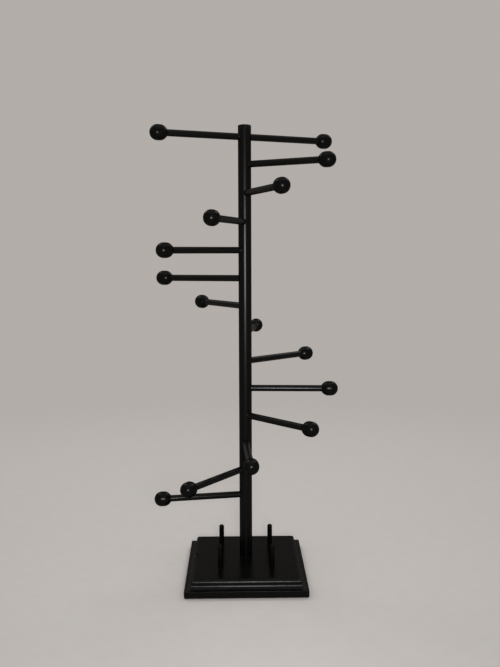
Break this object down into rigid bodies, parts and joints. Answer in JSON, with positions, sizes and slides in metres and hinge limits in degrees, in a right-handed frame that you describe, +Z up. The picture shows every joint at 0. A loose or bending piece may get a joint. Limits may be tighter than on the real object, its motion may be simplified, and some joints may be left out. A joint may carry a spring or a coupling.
{
  "type": "jewelry stand",
  "caption": "Jewellery tree: square moulded base, tall post with a spiral of knobbed dowel arms for hanging necklaces and bangles, and short upright pegs for rings.",
  "frame": {"origin": "on the table, under the middle of the post, at the underside of the felt", "axes": "+Z up along the post, -Y towards the front, +X to the stand's right as seen from the front"},
  "size_m": [0.2156, 0.2155, 0.5257],
  "materials": {
    "base_lacquer": "black lacquer, semi-gloss, slightly rubbed",
    "post_lacquer": "black lacquer, semi-gloss",
    "arm_lacquer": "black lacquer, semi-gloss",
    "knob_lacquer": "black lacquer, semi-gloss",
    "peg_lacquer": "black lacquer, semi-gloss",
    "felt": "black felt",
    "screw_steel": "zinc-plated steel"
  },
  "bodies": {
    "root": {"arm_01": "arm_lacquer", "arm_02": "arm_lacquer", "arm_03": "arm_lacquer", "arm_04": "arm_lacquer", "arm_05": "arm_lacquer", "arm_06": "arm_lacquer", "arm_07": "arm_lacquer", "arm_08": "arm_lacquer", "arm_09": "arm_lacquer", "arm_10": "arm_lacquer", "arm_11": "arm_lacquer", "arm_12": "arm_lacquer", "arm_13": "arm_lacquer", "base": "base_lacquer", "base_felt": "felt", "cross_arm": "arm_lacquer", "cross_knob_left": "knob_lacquer", "cross_knob_right": "knob_lacquer", "knob_01": "knob_lacquer", "knob_02": "knob_lacquer", "knob_03": "knob_lacquer", "knob_04": "knob_lacquer", "knob_05": "knob_lacquer", "knob_06": "knob_lacquer", "knob_07": "knob_lacquer", "knob_08": "knob_lacquer", "knob_09": "knob_lacquer", "knob_10": "knob_lacquer", "knob_11": "knob_lacquer", "knob_12": "knob_lacquer", "knob_13": "knob_lacquer", "post": "post_lacquer", "post_screw": "screw_steel", "ring_peg_back_left": "peg_lacquer", "ring_peg_back_right": "peg_lacquer", "ring_peg_front_left": "peg_lacquer", "ring_peg_front_right": "peg_lacquer"}
  },
  "joints": []
}
